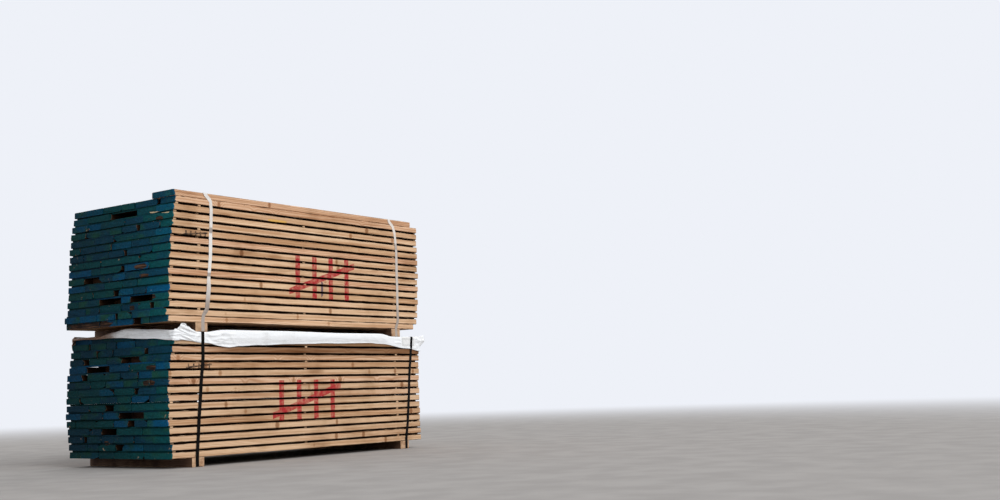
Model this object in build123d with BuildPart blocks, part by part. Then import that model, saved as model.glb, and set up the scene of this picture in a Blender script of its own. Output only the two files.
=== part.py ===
"""Two strapped packs of sawn boards, one on the other, each on its own pair of bearers.

Millimetres. X runs along the boards, Y across the pack, Z up.
The origin is on the floor, below the middle of the lower pack.
"""
import os
from random import Random
from typing import NamedTuple

from build123d import *

# The whole stack, and its boards: all of one thickness, but of random widths
stack_length = 3076.0
board_thickness = 50.0
pack_width = 1300.0
narrow_board = 130.0
wide_board = 330.0
gap_between_boards = 4.0
widest_hole = 115.0
ragged_end = 14.0
short_board_step = 190.0
wane_across = 58.0
wane_down = 30.0
top_board_width = 265.0
top_board_shortfall = 110.0

# Laths that keep the layers apart, so that air can pass; those of the upper pack are thicker
lower_lath_thickness = 13.0
upper_lath_thickness = 14.0
lath_width = 30.0
lath_setback = 3.0
lath_end_room = 5.0

# How many layers each pack has, how many gaps with laths, and how many layers lie close below them;
# the last layers lie on each other with no laths
lower_layer_count = 16
upper_layer_count = 17
lower_gap_count = 14
upper_gap_count = 14
lower_close_layers = 0
upper_close_layers = 1

# Bearers, with a groove along the underside for the straps
bearer_height = 75.0
bearer_width = 120.0
bearer_arris = 4.0
groove_width = 84.0
groove_depth = 3.5

# Straps and the crimped seals that join their ends
strap_width = 32.0
strap_thickness = 1.0
seal_length = 42.0
seal_wall = 1.2
seal_clearance = 0.3
seal_drop = 420.0

# Places along the boards, each measured from the end that it is nearer to; straps lean, so they
# have a place at the foot and one at the top
lower_strap_feet = (319.0, 245.0)
lower_strap_tops = (378.0, 135.0)
upper_strap_feet = (382.0, 352.0)
upper_strap_tops = (457.0, 345.0)
lower_bearer_insets = (328.0, 268.0)
upper_bearer_insets = (366.0, 362.0)
inner_lath_insets = (348.0, 355.0)
middle_lath_offset = -12.0


class Face(NamedTuple):
    """How far the ends of the layers of a pack lie back from one end of the stack."""
    base: float = 0.0   # all of them
    lean: float = 0.0   # more and more towards the top
    bow: float = 0.0    # at the top and the bottom, where the face is bowed outwards
    step: float = 0.0   # all but the lowest close layers
    foot: float = 0.0   # the lowest layer alone


upper_near_face = Face(lean=62.0, step=28.0, foot=18.0)
upper_far_face = Face(base=8.0, lean=-30.0, bow=30.0, foot=50.0)
lower_near_face = Face(base=17.0, lean=36.0, bow=44.0)
lower_far_face = Face(base=26.0, bow=-16.0)

# Sheet over the lower pack, and the corner pieces that spare it from the strap
cover_thickness = 1.0
side_skirt = 92.0
near_end_skirt = 32.0
far_end_skirt = 78.0
corner_leg = 90.0
corner_length = 190.0
corner_inset = 184.0
corner_thickness = 2.0
strap_ramp = 30.0

# Chances for one board in a layer
waney_chance = 0.4
short_chance = 0.1

# Heights worked out from the sizes above
lower_base = bearer_height
lower_top = lower_base + lower_layer_count * board_thickness + lower_gap_count * lower_lath_thickness
cover_top = lower_top + cover_thickness
upper_base = cover_top + bearer_height
upper_full_layers = upper_layer_count - 1
upper_flat = upper_base + upper_full_layers * board_thickness + upper_gap_count * upper_lath_thickness
upper_top = upper_flat + board_thickness

half_width = pack_width / 2
half_length = stack_length / 2


def save(piece, name):
    """Label a finished piece and write it as its own file."""
    piece.part.label = name
    export_step(piece.part, f"parts/{name}.step")


def along(inset, side):
    """The X of a place near one end of the boards; side is -1 at the painted end and 1 at the other."""
    return side * (half_length - inset)


def board_widths_and_hole(chooser):
    """Random widths that fill one layer, and the hole that is left between two of the boards."""
    count = round(pack_width / ((narrow_board + wide_board) / 2)) - chooser.choice((0, 0, 1))
    hole = widest_hole * max(0, chooser.uniform(-0.8, 1))
    shares = [chooser.uniform(narrow_board, wide_board) for _ in range(count)]
    timber = pack_width - hole - (count - 1) * gap_between_boards
    return [share * timber / sum(shares) for share in shares], hole


def face_setback(face, level, layer_count, close_layers):
    """How far one layer lies back from the end of the stack; the lowest level is 0."""
    height = level / (layer_count - 1)
    setback = face.base + face.lean * height ** 3 + face.bow * (2 * height - 1) ** 2
    if level > close_layers:
        setback += face.step
    if level == 0:
        setback += face.foot
    return setback


def board(side, width, base, start, end, wane=None):
    """One sawn board, from its front edge; with a chooser for its wane, it keeps a bevel of the round
    log on one corner."""
    with BuildSketch(Plane.YZ.offset(start)) as section:
        with Locations((side, base)):
            Rectangle(width, board_thickness, align=(Align.MIN, Align.MIN))
        if wane:
            faces = section.edges().filter_by(Axis.X).sort_by(Axis.Y)
            waney_face = wane.choice(faces)
            chamfer(
                wane.choice(waney_face.vertices()),
                length=wane_across * wane.uniform(0.3, 1),
                length2=wane_down * wane.uniform(0.3, 1),
                reference=waney_face,
            )
    extrude(section.sketch, amount=end - start)


def full_layer(name, base, seed, near_setback, far_setback):
    """One layer of boards side by side, ragged at the ends. The two outer boards are square and flush;
    of those between them, some are waney and some are short."""
    chooser = Random(seed)
    widths, hole = board_widths_and_hole(chooser)
    last = len(widths) - 1
    board_before_hole = chooser.randrange(last)
    with BuildPart() as layer:
        side = -half_width
        for number, width in enumerate(widths):
            inside = 0 < number < last
            setbacks = [near_setback, far_setback]
            for end in (0, 1):
                setbacks[end] += ragged_end * chooser.random()
                if inside and chooser.random() < short_chance:
                    setbacks[end] += short_board_step * chooser.uniform(0.4, 1)
            wane = chooser if inside and chooser.random() < waney_chance else None
            board(side, width, base, along(setbacks[0], -1), along(setbacks[1], 1), wane)
            side += width + gap_between_boards
            if number == board_before_hole:
                side += hole
    save(layer, name)


def pack_of_boards(name, base, layer_count, gap_count, close_layers, lath_thickness, seed,
                   near_face, far_face):
    """The full layers of one pack and the laths between them."""
    rows = []
    for level in range(layer_count):
        gaps_below = min(max(level - close_layers, 0), gap_count)
        height = base + level * board_thickness + gaps_below * lath_thickness
        near = face_setback(near_face, level, layer_count, close_layers)
        far = face_setback(far_face, level, layer_count, close_layers)
        full_layer(f"{name}_layer_{level + 1:02d}", height, seed + level, near, far)
        if close_layers <= level < close_layers + gap_count:
            rows.append((height + board_thickness, near, far))
    laths(f"{name}_laths", rows, lath_thickness)


def odd_top_board(name, base, near_setback):
    """The single board left over, laid along the front edge of the upper pack."""
    with BuildPart() as layer:
        board(-half_width, top_board_width, base, along(near_setback, -1), along(top_board_shortfall, 1))
    save(layer, name)


def laths(name, rows, thickness):
    """All laths of one pack: five in each row, the outer two just inside the ends of the boards."""
    end_inset = lath_end_room + lath_width / 2
    with BuildPart() as pieces:
        for height, near, far in rows:
            places = (
                along(near + end_inset, -1),
                along(inner_lath_insets[0], -1),
                middle_lath_offset,
                along(inner_lath_insets[1], 1),
                along(far + end_inset, 1),
            )
            with Locations([(place, 0, height) for place in places]):
                Box(lath_width, pack_width - 2 * lath_setback, thickness,
                    align=(Align.CENTER, Align.CENTER, Align.MIN))
    save(pieces, name)


def bearer(name, place, base):
    """A squared timber across the pack, grooved underneath so that straps pass under it."""
    with BuildPart() as block:
        with Locations((place, 0, base)):
            Box(bearer_width, pack_width, bearer_height, align=(Align.CENTER, Align.CENTER, Align.MIN))
            chamfer(block.edges().filter_by(Axis.Y), length=bearer_arris)
            Box(groove_width, pack_width, groove_depth,
                align=(Align.CENTER, Align.CENTER, Align.MIN), mode=Mode.SUBTRACT)
    save(block, name)


def leaning_place(foot, top, outline, height):
    """The X of a leaning strap at one height of the outline that it follows."""
    lowest = min(point[1] for point in outline)
    highest = max(point[1] for point in outline)
    return foot + (top - foot) * (height - lowest) / (highest - lowest)


def strap(name, foot, top, outline):
    """A flat strap drawn tight round the outline of a pack and its bearer, from its foot to its top."""
    below = min(point[1] for point in outline) - strap_thickness
    above = max(point[1] for point in outline) + strap_thickness
    at_foot = leaning_place(foot, top, outline, below)
    at_top = leaning_place(foot, top, outline, above)
    half = strap_width / 2
    with BuildPart() as loop:
        with BuildSketch(Plane.YZ.offset(min(at_foot, at_top) - strap_width)):
            with BuildLine():
                Polyline(*outline, close=True)
            make_face()
            offset(amount=strap_thickness, kind=Kind.ARC)
            with BuildLine():
                Polyline(*outline, close=True)
            make_face(mode=Mode.SUBTRACT)
        extrude(amount=abs(at_top - at_foot) + 2 * strap_width)
        with BuildSketch(Plane.XZ):
            with BuildLine():
                Polyline((at_foot - half, below), (at_foot + half, below),
                         (at_top + half, above), (at_top - half, above), close=True)
            make_face()
        extrude(amount=pack_width, both=True, mode=Mode.INTERSECT)
    save(loop, name)


def seal(name, foot, top, outline, back_face, height):
    """A crimped sleeve that folds round the leaning strap on the back of the pack."""
    place = leaning_place(foot, top, outline, height)
    direction = Vector(leaning_place(foot, top, outline, height + seal_length) - place, 0, seal_length)
    across = direction.cross(Vector(0, 1, 0))
    with BuildPart() as sleeve:
        with BuildSketch(Plane(origin=(place, back_face, height), x_dir=-across, z_dir=direction)):
            Rectangle(strap_width + 2 * (seal_clearance + seal_wall),
                      strap_thickness + seal_clearance + seal_wall,
                      align=(Align.CENTER, Align.MIN))
            Rectangle(strap_width + 2 * seal_clearance, strap_thickness + seal_clearance,
                      align=(Align.CENTER, Align.MIN), mode=Mode.SUBTRACT)
        extrude(amount=seal_length)
    save(sleeve, name)


def cover(near_setback, far_setback):
    """The sheet over the lower pack, turned down all round and shorter at the ends."""
    length = stack_length - near_setback - far_setback
    middle = (near_setback - far_setback) / 2
    downwards = (Align.CENTER, Align.CENTER, Align.MAX)
    with BuildPart() as sheet:
        with Locations((middle, 0, cover_top)):
            Box(length + 2 * cover_thickness, pack_width + 2 * cover_thickness,
                side_skirt + cover_thickness, align=downwards)
        with Locations((middle, 0, lower_top)):
            Box(length, pack_width, side_skirt, align=downwards, mode=Mode.SUBTRACT)
        for side, skirt in ((-1, near_end_skirt), (1, far_end_skirt)):
            with Locations((middle + side * (length + cover_thickness) / 2, 0, lower_top - skirt)):
                Box(cover_thickness, pack_width, side_skirt - skirt, align=downwards, mode=Mode.SUBTRACT)
    save(sheet, "lower_pack_cover")


def corner_piece(name, place, facing):
    """A bent plate over one top edge of the lower pack; facing is -1 in front and 1 behind."""
    edge = facing * (half_width + cover_thickness)
    outer = edge + facing * corner_thickness
    inner = edge - facing * corner_leg
    with BuildPart() as plate:
        with BuildSketch(Plane.YZ.offset(place - corner_length / 2)):
            with BuildLine():
                Polyline(
                    (edge, cover_top - corner_leg),
                    (edge, cover_top),
                    (inner, cover_top),
                    (inner, cover_top + corner_thickness),
                    (outer, cover_top + corner_thickness),
                    (outer, cover_top - corner_leg),
                    close=True,
                )
            make_face()
        extrude(amount=corner_length)
    save(plate, name)


def upper_strap_outline():
    """Round the upper pack: over the odd board, then straight down to the far top edge."""
    bottom = cover_top + groove_depth
    return (
        (-half_width, bottom),
        (-half_width, upper_top),
        (-half_width + top_board_width, upper_top),
        (half_width, upper_flat),
        (half_width, bottom),
    )


def plain_lower_outline():
    """Round the lower pack and its sheet."""
    side = half_width + cover_thickness
    return ((-side, groove_depth), (-side, cover_top), (side, cover_top), (side, groove_depth))


def lower_outline_over_corners():
    """Round the lower pack and its sheet, lifted over the two corner pieces."""
    side = half_width + cover_thickness
    raised = side + corner_thickness
    inner = side - corner_leg
    top = cover_top + corner_thickness
    front_up = (
        (-side, groove_depth),
        (-side, cover_top - corner_leg - strap_ramp),
        (-raised, cover_top - corner_leg),
        (-raised, top),
        (-inner, top),
        (-inner + strap_ramp, cover_top),
    )
    back_down = tuple((-across, height) for across, height in reversed(front_up))
    return front_up + back_down


os.makedirs("parts", exist_ok=True)

near_and_far = (("left", -1), ("right", 1))

pack_of_boards("lower_pack", lower_base, lower_layer_count, lower_gap_count, lower_close_layers,
               lower_lath_thickness, 100, lower_near_face, lower_far_face)
pack_of_boards("upper_pack", upper_base, upper_full_layers, upper_gap_count, upper_close_layers,
               upper_lath_thickness, 200, upper_near_face, upper_far_face)
top_level = upper_full_layers - 1
odd_top_board(f"upper_pack_layer_{upper_layer_count:02d}", upper_flat,
              face_setback(upper_near_face, top_level, upper_full_layers, upper_close_layers))

top_level = lower_layer_count - 1
cover(face_setback(lower_near_face, top_level, lower_layer_count, lower_close_layers),
      face_setback(lower_far_face, top_level, lower_layer_count, lower_close_layers))
corner_place = along(corner_inset, 1)
corner_piece("corner_piece_front", corner_place, -1)
corner_piece("corner_piece_back", corner_place, 1)

lower_outlines = (plain_lower_outline(), lower_outline_over_corners())
for end in (0, 1):
    end_name, side = near_and_far[end]
    bearer(f"lower_bearer_{end_name}", along(lower_bearer_insets[end], side), 0)
    bearer(f"upper_bearer_{end_name}", along(upper_bearer_insets[end], side), cover_top)

    run = (along(lower_strap_feet[end], side), along(lower_strap_tops[end], side), lower_outlines[end])
    strap(f"lower_strap_{end_name}", *run)
    seal(f"lower_seal_{end_name}", *run, half_width + cover_thickness, lower_top - seal_drop)

    run = (along(upper_strap_feet[end], side), along(upper_strap_tops[end], side), upper_strap_outline())
    strap(f"upper_strap_{end_name}", *run)
    seal(f"upper_seal_{end_name}", *run, half_width, upper_flat - seal_drop)
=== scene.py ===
import math
from random import Random

import bmesh
import bpy
from mathutils import Matrix, Vector, noise


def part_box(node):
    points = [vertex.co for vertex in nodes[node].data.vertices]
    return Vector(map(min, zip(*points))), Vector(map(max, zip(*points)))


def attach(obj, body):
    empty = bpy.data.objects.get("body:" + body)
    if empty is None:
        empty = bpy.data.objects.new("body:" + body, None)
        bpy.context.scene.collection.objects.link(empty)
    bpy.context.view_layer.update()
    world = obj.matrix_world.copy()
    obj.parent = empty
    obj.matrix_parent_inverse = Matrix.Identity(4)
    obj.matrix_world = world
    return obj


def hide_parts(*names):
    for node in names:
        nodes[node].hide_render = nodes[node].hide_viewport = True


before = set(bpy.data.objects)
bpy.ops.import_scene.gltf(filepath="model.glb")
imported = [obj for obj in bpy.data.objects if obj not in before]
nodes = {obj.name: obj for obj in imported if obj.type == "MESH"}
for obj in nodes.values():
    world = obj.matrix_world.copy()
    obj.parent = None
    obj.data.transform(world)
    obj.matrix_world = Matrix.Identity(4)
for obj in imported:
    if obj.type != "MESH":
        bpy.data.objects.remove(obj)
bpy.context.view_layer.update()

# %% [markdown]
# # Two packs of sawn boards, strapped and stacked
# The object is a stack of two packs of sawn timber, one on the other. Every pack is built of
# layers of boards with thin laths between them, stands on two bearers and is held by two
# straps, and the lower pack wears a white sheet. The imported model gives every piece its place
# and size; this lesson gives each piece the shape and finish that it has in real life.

# %% [markdown]
# ## The camera
# The photographer stood low, off the painted end, and looked along the shown side, so the
# lines of the boards run away to the right. The place, the turn and the focal length were
# worked out from where the corners and straps of the stack lie in the picture, and the
# framing is kept, so the stack stands left of the middle.

# %% The camera
def add_object(name, data):
    """Puts an object with this data into the scene."""
    made = bpy.data.objects.new(name, data)
    bpy.context.scene.collection.objects.link(made)
    return made


camera_place = Vector((-7.554, -8.209, 0.516))
camera_yaw = math.radians(54.17)
camera_pitch = math.radians(6.635)
camera_roll = math.radians(-1.901)
focal_length, film_width = 43.48, 36.0  # in millimetres

camera_data = bpy.data.cameras.new("camera")
camera_data.lens = focal_length
camera_data.sensor_width = film_width
camera = add_object("camera", camera_data)
camera.matrix_world = (Matrix.Translation(camera_place)
                       @ Matrix.Rotation(-camera_yaw, 4, "Z")
                       @ Matrix.Rotation(math.pi / 2 + camera_pitch, 4, "X")
                       @ Matrix.Rotation(camera_roll, 4, "Z"))
bpy.context.scene.camera = camera
bpy.context.scene.view_settings.view_transform = "Standard"
stack_middle = Vector((0, 0, 1))
print("the camera stands", round((camera_place - stack_middle).length, 2), "m from the stack")

# %% [markdown]
# ## Writing node trees as sums
# Materials and Geometry Nodes are both trees of small nodes, and most of those nodes only
# add, multiply or compare. A tree is easier to read as arithmetic, so one small class wraps
# a socket and turns each sum into its Math node. All other nodes come from one method that
# takes the type of the node, its settings and what goes into its sockets.

# %% A socket that does sums, and a tree that makes nodes
class Wire:
    """An output socket of a node; arithmetic on it adds Math nodes to its tree."""

    def __init__(self, tree, socket):
        self.tree = tree
        self.socket = socket

    def math(self, operation, *others):
        """One Math node with this number in its first socket."""
        return self.tree.node("ShaderNodeMath", {"operation": operation},
                              dict(enumerate((self, *others))))

    def __add__(self, other):
        return self.math("ADD", other)

    def __sub__(self, other):
        return self.math("SUBTRACT", other)

    def __mul__(self, other):
        return self.math("MULTIPLY", other)

    def __truediv__(self, other):
        return self.math("DIVIDE", other)

    def __pow__(self, other):
        return self.math("POWER", other)

    def __lt__(self, other):
        return self.math("LESS_THAN", other)

    def __gt__(self, other):
        return self.math("GREATER_THAN", other)

    def __abs__(self):
        return self.math("ABSOLUTE")

    def __rsub__(self, other):
        return self.tree.node("ShaderNodeMath", {"operation": "SUBTRACT"}, {0: other, 1: self})

    def __rtruediv__(self, other):
        return self.tree.node("ShaderNodeMath", {"operation": "DIVIDE"}, {0: other, 1: self})

    __radd__ = __add__
    __rmul__ = __mul__

    def least(self, other):
        return self.math("MINIMUM", other)

    def most(self, other):
        return self.math("MAXIMUM", other)

    def sign(self):
        return self.math("SIGN")

    def sine(self):
        return self.math("SINE")

    def ramp(self, low, high, start=0.0, end=1.0):
        """From start to end, smoothly, while this number goes from low to high."""
        return self.tree.node("ShaderNodeMapRange", {"interpolation_type": "SMOOTHSTEP"},
                              {0: self, 1: low, 2: high, 3: start, 4: end})

    def output(self, name):
        """Another output of the same node."""
        return Wire(self.tree, self.socket.node.outputs[name])

    def parts(self):
        """The X, Y and Z of a vector."""
        split = self.tree.node("ShaderNodeSeparateXYZ", {}, {0: self})
        return [split.output(axis) for axis in "XYZ"]


class Tree:
    """A node tree of either kind."""

    def __init__(self, tree):
        self.tree = tree

    def node(self, kind, settings=None, inputs=None, output=0):
        """A node of a kind: its settings come first, then the values or wires of its sockets."""
        made = self.tree.nodes.new(kind)
        for name, value in (settings or {}).items():
            setattr(made, name, value)
        for key, value in (inputs or {}).items():
            if isinstance(value, Wire):
                self.tree.links.new(value.socket, made.inputs[key])
            else:
                made.inputs[key].default_value = value
        return Wire(self, made.outputs[output]) if made.outputs else made

    def vector(self, x, y, z):
        """Three numbers as a vector or a colour."""
        return self.node("ShaderNodeCombineXYZ", {}, {0: x, 1: y, 2: z})

    def vector_math(self, operation, *vectors, output=0):
        return self.node("ShaderNodeVectorMath", {"operation": operation},
                         dict(enumerate(vectors)), output)

    def mix(self, share, first, second, how="MIX"):
        """A mix of two colours; share 0 gives the first and 1 the second."""
        return self.node("ShaderNodeMix", {"data_type": "RGBA", "blend_type": how},
                         {0: share, 6: first, 7: second}, 2)

    def tinted(self, share, colour, tint):
        """The colour multiplied by a tint, by the share given."""
        return self.mix(share, colour, tint, "MULTIPLY")

    def noise(self, place, scale, detail=2.0, roughness=0.5):
        """Smooth noise between about 0.3 and 0.7, at a place in space."""
        return self.node("ShaderNodeTexNoise", {}, {"Vector": place, "Scale": scale,
                                                    "Detail": detail, "Roughness": roughness})

    def darkened(self, colour, value):
        """The colour times a number."""
        return self.tinted(1.0, colour, self.vector(value, value, value))


def empty_tree(owner):
    """The node tree of a material or a world, with nothing in it yet."""
    owner.use_nodes = True
    owner.node_tree.nodes.clear()
    return Tree(owner.node_tree)


def srgb(red, green, blue):
    """A colour from 0 to 255, as paint charts give it, as the light that Blender reckons with."""
    def light(value):
        value = value / 255
        return value / 12.92 if value <= 0.04045 else ((value + 0.055) / 1.055) ** 2.4
    return (light(red), light(green), light(blue), 1.0)


print("sums on sockets are ready")

# %% [markdown]
# ## Floor, air and light
# The stack stands on pale ground under a bright, even sky: the side is a little brighter than
# the end, and no shadow is hard. So the air itself gives most of the light, one wide lamp in
# front adds the rest, and a weak one behind keeps the far sides readable. The pale background
# is only a colour that the camera and shiny things see, so it puts no extra light on the wood.

# %% Background, lamps and floor
air_colour = srgb(238, 241, 248)
floor_colour = srgb(163, 159, 156)
air_light, air_tint = 0.60, (0.93, 0.96, 1.0, 1.0)


def seen_directly(tree):
    """1 where the camera, a mirror or a glass looks, and 0 for light that falls on things."""
    path = tree.node("ShaderNodeLightPath", {}, {})
    return path.output("Is Camera Ray").most(path.output("Is Glossy Ray")).most(
        path.output("Is Transmission Ray"))


world = bpy.data.worlds.new("air")
bpy.context.scene.world = world
air = empty_tree(world)
lit = air.node("ShaderNodeBackground", {}, {"Color": air_tint, "Strength": air_light})
shown = air.node("ShaderNodeBackground", {}, {"Color": air_colour, "Strength": 1.0})
air.node("ShaderNodeOutputWorld", {},
         {0: air.node("ShaderNodeMixShader", {}, {0: seen_directly(air), 1: lit, 2: shown})})


def lamp(name, strength, softness, towards):
    """A wide lamp far away; towards is the direction from the stack to the lamp."""
    data = bpy.data.lights.new(name, "SUN")
    data.energy = strength
    data.angle = math.radians(softness)
    add_object(name, data).rotation_euler = Vector(towards).to_track_quat("Z", "Y").to_euler()


lamp("front_lamp", 2.0, 50, (-0.06, -0.75, 0.66))
lamp("back_lamp", 0.8, 60, (0.75, 0.5, 0.45))

floor_mesh = bpy.data.meshes.new("floor")
reach, fade_start, fade_end = 60.0, 6.0, 24.0
floor_corners = [(-reach, -reach, 0), (reach, -reach, 0), (reach, reach, 0), (-reach, reach, 0)]
floor_mesh.from_pydata(floor_corners, [], [(0, 1, 2, 3)])
floor = add_object("floor", floor_mesh)

floor_finish = bpy.data.materials.new("floor_finish")
ground = empty_tree(floor_finish)
place = ground.node("ShaderNodeTexCoord", {}, {}, "Object")
from_stack = ground.vector_math("LENGTH", place, output="Value")
grit = ground.noise(place, 3.0, 6.0).ramp(0.3, 0.7, 0.93, 1.05)
matt = ground.node("ShaderNodeBsdfDiffuse", {}, {"Color": ground.darkened(floor_colour, grit)})
glow = ground.node("ShaderNodeEmission", {}, {"Color": air_colour, "Strength": 1.0})
fade = from_stack.ramp(fade_start, fade_end) * seen_directly(ground)
ground.node("ShaderNodeOutputMaterial", {},
            {0: ground.node("ShaderNodeMixShader", {}, {0: fade, 1: matt, 2: glow})})
floor_mesh.materials.append(floor_finish)
print("floor, background and two lamps are up")

# %% [markdown]
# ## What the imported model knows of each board
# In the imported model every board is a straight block, and some have lost one corner to the
# round of the log. To give each its own wood, the lesson reads a copy of the layer, joins its
# loose triangles, and notes for every board its box and its missing corner.

# %% Reading the boards of one layer
layer_names = sorted(name for name in nodes if "_layer_" in name)
board_side = 0.650  # from the middle of a pack to its side
same_place = 1e-4


def loose_parts(node_name):
    """The separate solids of a node, each as a list of its points."""
    work = bmesh.new()
    work.from_mesh(nodes[node_name].data)
    bmesh.ops.remove_doubles(work, verts=work.verts, dist=1e-5)
    left = set(work.verts)
    solids = []
    while left:
        waiting = [left.pop()]
        points = []
        while waiting:
            vertex = waiting.pop()
            points.append(vertex.co.copy())
            for edge in vertex.link_edges:
                other = edge.other_vert(vertex)
                if other in left:
                    left.discard(other)
                    waiting.append(other)
        solids.append(points)
    work.free()
    return sorted(solids, key=lambda points: [round(min(point[axis] for point in points), 4)
                                              for axis in (2, 1, 0)])


def corners_of(points):
    """The lowest and highest corner of the box round some points."""
    return (Vector([min(point[axis] for point in points) for axis in range(3)]),
            Vector([max(point[axis] for point in points) for axis in range(3)]))


def boards_of(node_name):
    """The boards of one layer: their lowest and highest corner, waney corner and its cuts."""
    found = []
    for points in loose_parts(node_name):
        low, high = corners_of(points)
        found.append({"low": low, "high": high, **waney_corner(points, low, high)})
    return found


def waney_corner(points, low, high):
    """Which corner of the section is cut off, as signs across and up, and how far each way."""
    for side, edge_y in ((-1, low.y), (1, high.y)):
        for up, edge_z in ((-1, low.z), (1, high.z)):
            away = [(abs(point.y - edge_y), abs(point.z - edge_z)) for point in points]
            if min(math.hypot(across, down) for across, down in away) > same_place:
                return {"corner": (side, up),
                        "cut": (min(across for across, down in away if down < same_place),
                                min(down for across, down in away if across < same_place))}
    return {"corner": (0, 0), "cut": (0.001, 0.001)}


layers = {name: boards_of(name) for name in layer_names}
pack_base = {pack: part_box(pack + "_pack_layer_01")[0].z for pack in ("lower", "upper")}
pack_top = {pack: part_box(pack + "_pack_layer_16")[1].z for pack in ("lower", "upper")}
print("boards read:", sum(len(found) for found in layers.values()), "in", len(layers), "layers")

# %% [markdown]
# ## Sawn boards
# A sawn board is straight but never perfect: its edges are worn round, its ends are cut a
# little askew, and where the log was too small one corner is rough round wood. Such a board
# follows a rule, so Geometry Nodes make it: one finely divided block is set on a point for
# each board, and sums on the place inside the block give it size, worn edges, the waney
# corner and a crooked cut. The rings of points lie close together where the shape changes.

# %% The Geometry Nodes tree of a board
def new_geometry_tree(name, inputs):
    """A Geometry Nodes tree with a geometry going in and out, and named inputs for sizes."""
    tree = bpy.data.node_groups.new(name, "GeometryNodeTree")
    tree.interface.new_socket("Geometry", in_out="INPUT", socket_type="NodeSocketGeometry")
    for title, kind in inputs.items():
        tree.interface.new_socket(title, in_out="INPUT", socket_type=kind)
    tree.interface.new_socket("Geometry", in_out="OUTPUT", socket_type="NodeSocketGeometry")
    return Tree(tree)


def kept(tree, name, kind):
    """The value that a point carries under a name."""
    return tree.node("GeometryNodeInputNamedAttribute", {"data_type": kind}, {"Name": name})


def keep(tree, geometry, name, kind, value):
    """Writes a value on every point, under a name that the material can read."""
    return tree.node("GeometryNodeStoreNamedAttribute", {"data_type": kind, "domain": "POINT"},
                     {"Geometry": geometry, "Name": name, "Value": value})


def blocks_on_points(name, inputs, counts):
    """A tree that sets a block on every point; counts are the block's own points each way.

    Also gives the way in, the placed blocks, and for a place its share of the half size, from
    -1 to 1, the half size and the middle of its block.
    """
    tree = new_geometry_tree(name, inputs)
    start = tree.node("NodeGroupInput")
    sizes = {"Vertices " + axis: count for axis, count in zip("XYZ", counts)}
    block = tree.node("GeometryNodeMeshCube", {}, {"Size": (2.0, 2.0, 2.0), **sizes})
    block = keep(tree, block, "inside", "FLOAT_VECTOR", tree.node("GeometryNodeInputPosition"))
    placed = tree.node("GeometryNodeInstanceOnPoints", {}, {"Points": start, "Instance": block})
    placed = tree.node("GeometryNodeRealizeInstances", {}, {0: placed})
    return tree, start, placed, *(kept(tree, title, "FLOAT_VECTOR").parts()
                                  for title in ("inside", "half_size", "middle"))


def move_to(tree, geometry, x, y, z):
    """Puts every point at a new place."""
    return tree.node("GeometryNodeSetPosition", {},
                     {"Geometry": geometry, "Position": tree.vector(x, y, z)})


def flat_faces(tree, geometry):
    """Shades every face as the flat one that it is."""
    return tree.node("GeometryNodeSetShadeSmooth", {},
                     {"Geometry": geometry, "Shade Smooth": False})


def end_tree(tree, geometry, material):
    """Gives the geometry its material and its way out."""
    dressed = tree.node("GeometryNodeSetMaterial", {},
                        {"Geometry": geometry, "Material": material})
    tree.node("NodeGroupOutput", {}, {0: dressed})


def in_steps(number, *stops):
    """Straight runs between stops; a stop is a number and the value there."""
    value = stops[0][1]
    for (start, low), (end, high) in zip(stops, stops[1:]):
        share = ((number - start) / (end - start)).most(0.0).least(1.0)
        value = share * (high - low) + value
    return value


worn_edge = 0.0055
grain_step = 20.0  # how far apart in the grain two boards may be
board_tree, start, placed, inside, half, middle = blocks_on_points(
    "sawn_boards", {"Wood": "NodeSocketMaterial"}, (41, 9, 7))
(along, across, up), (half_x, half_y, half_z), (mid_x, mid_y, mid_z) = inside, half, middle
corner_y, corner_z, side_out = kept(board_tree, "corner", "FLOAT_VECTOR").parts()
cut_y, cut_z, _ = kept(board_tree, "cut", "FLOAT_VECTOR").parts()
own_a, own_b, own_c = kept(board_tree, "own", "FLOAT_VECTOR").parts()

# Rings of points lie close together at the ends, at the waney corner and at the worn edges
x = along.sign() * (1.0 - (1.0 - abs(along)) ** 1.8) * half_x
y = in_steps(abs(across), (0.0, 0.0), (0.5, half_y - cut_y.most(0.02)),
             (0.75, half_y - worn_edge), (1.0, half_y)) * across.sign()
z = in_steps(abs(up), (0.0, 0.0), (0.334, half_z - cut_z.least(0.02).most(0.008)),
             (0.667, half_z - worn_edge), (1.0, half_z)) * up.sign()

# The waney corner: what lies outside the slanting cut is moved back onto it
drift = board_tree.vector(x * 2.2, own_a * 40.0, own_b * 40.0)
waver = board_tree.noise(drift, 1.0, 3.0).ramp(0.25, 0.75, 0.72, 1.12)
wane_y, wane_z = cut_y * waver, cut_z * waver
inside_y = half_y - corner_y * y
inside_z = half_z - corner_z * z
missing = (1.0 - inside_y / wane_y - inside_z / wane_z).most(0.0) * abs(corner_y)
y = y - corner_y * missing * wane_y * 0.52
z = z - corner_z * missing * wane_z * 0.48

# Worn long edges, a skew cut, and a slight bow that only draws boards inwards
on_edge = (abs(across) > 0.99) * (abs(up) > 0.99) * (missing < 0.001)
chip_place = board_tree.vector(x * 9.0, own_c * 30.0, up + across * 2.0)
chips = board_tree.noise(chip_place, 1.0, 4.0).ramp(0.35, 0.8, 0.4, 2.4)
y = y - across.sign() * on_edge * worn_edge * 0.4 * chips
z = z - up.sign() * on_edge * worn_edge * 0.4 * chips
at_end = abs(along) > 0.97
skew_across, skew_up, least_cut, deepest_tear, deepest_bow = 0.006, 0.003, 0.0045, 0.004, 0.0035
cut_skew = (own_a - 0.5) * across * skew_across + (own_b - 0.5) * up * skew_up + least_cut
tear_place = board_tree.vector(own_c * 50.0, y * 60.0, z * 90.0)
cut_rough = board_tree.noise(tear_place, 1.0, 3.0).ramp(0.3, 0.8, 0.0, deepest_tear)
x = x - along.sign() * at_end * (cut_skew + cut_rough)
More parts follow.
